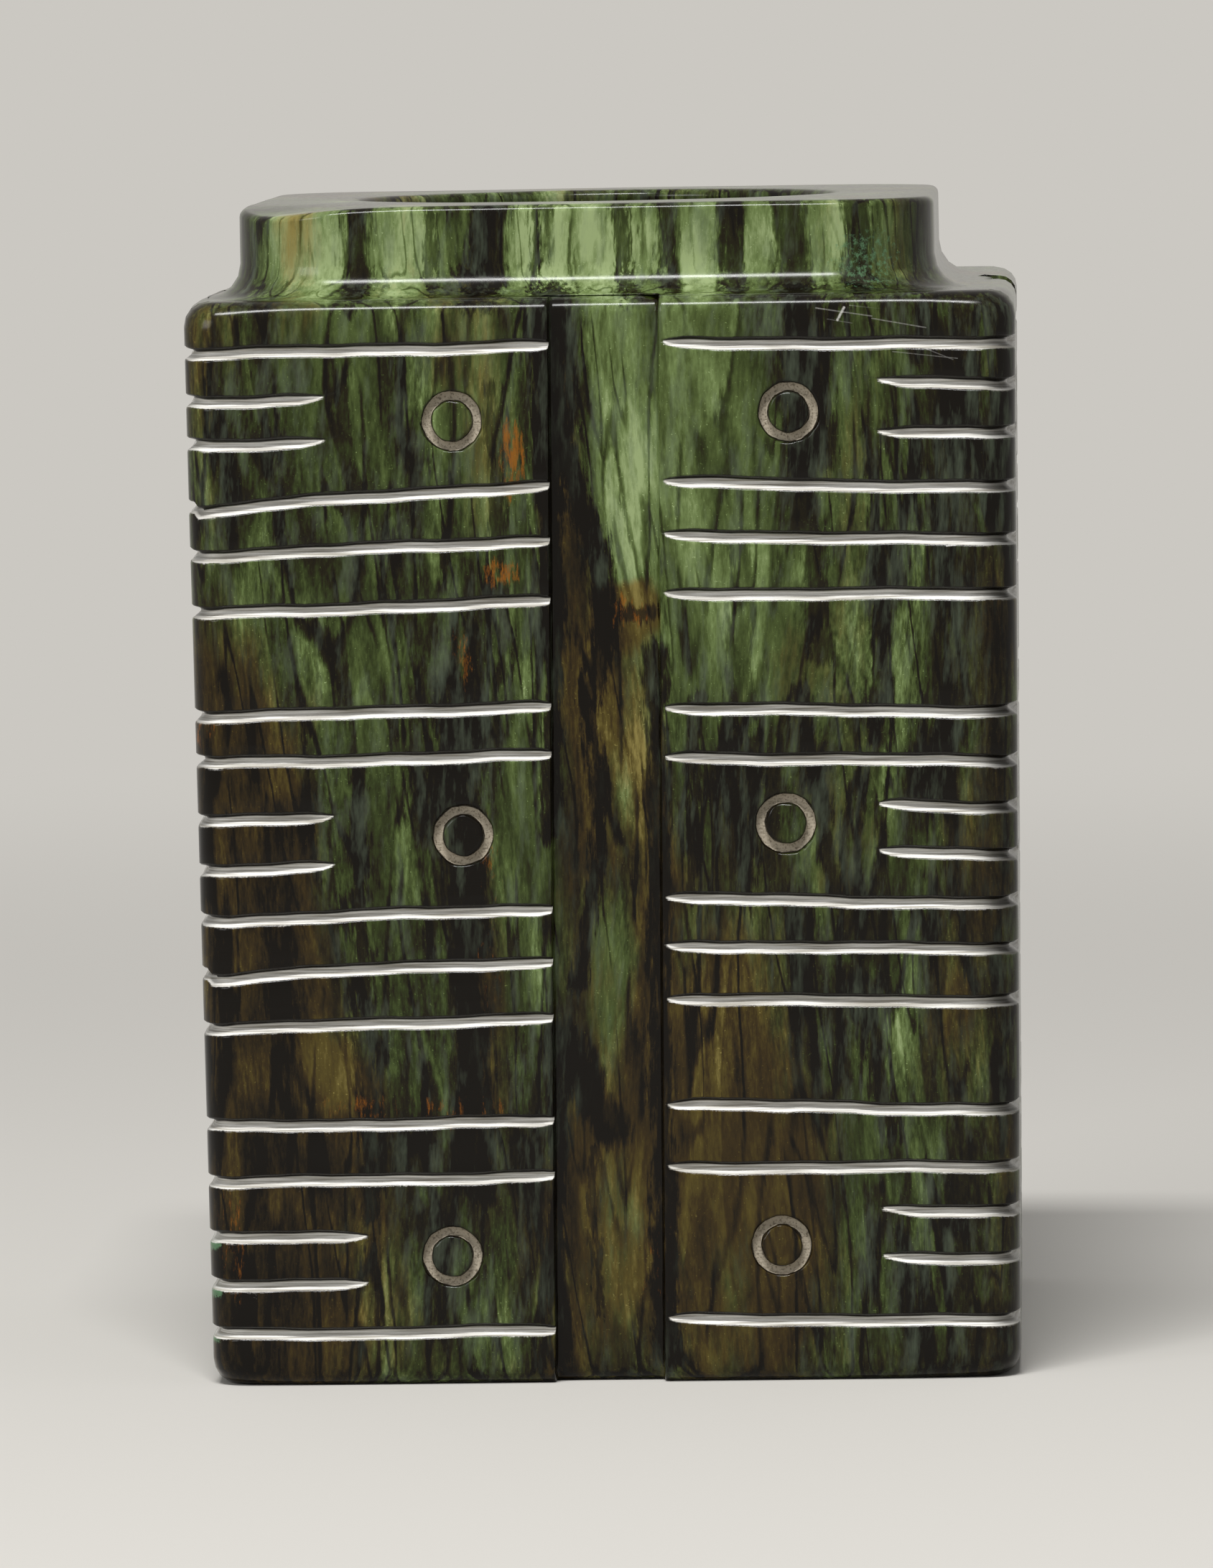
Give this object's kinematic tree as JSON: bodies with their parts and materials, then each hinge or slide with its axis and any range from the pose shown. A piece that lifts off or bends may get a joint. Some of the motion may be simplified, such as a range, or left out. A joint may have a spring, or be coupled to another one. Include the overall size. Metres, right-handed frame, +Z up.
{
  "type": "jade cong",
  "caption": "Square jade tube with a round bore and a rounded square collar; grooved corners with drilled eye rings and a flat channel down each face.",
  "frame": {"origin": "middle of the flat foot that the cong stands on", "axes": "+Z up along the bore towards the collar; the front face, the one in the picture, looks along -Y; +X is to its right"},
  "size_m": [0.075, 0.075, 0.1065],
  "materials": {
    "jade": "satin-polished grey-green jade with dark and brown streaks"
  },
  "bodies": {
    "root": {"jade_cong": "jade"}
  },
  "joints": []
}
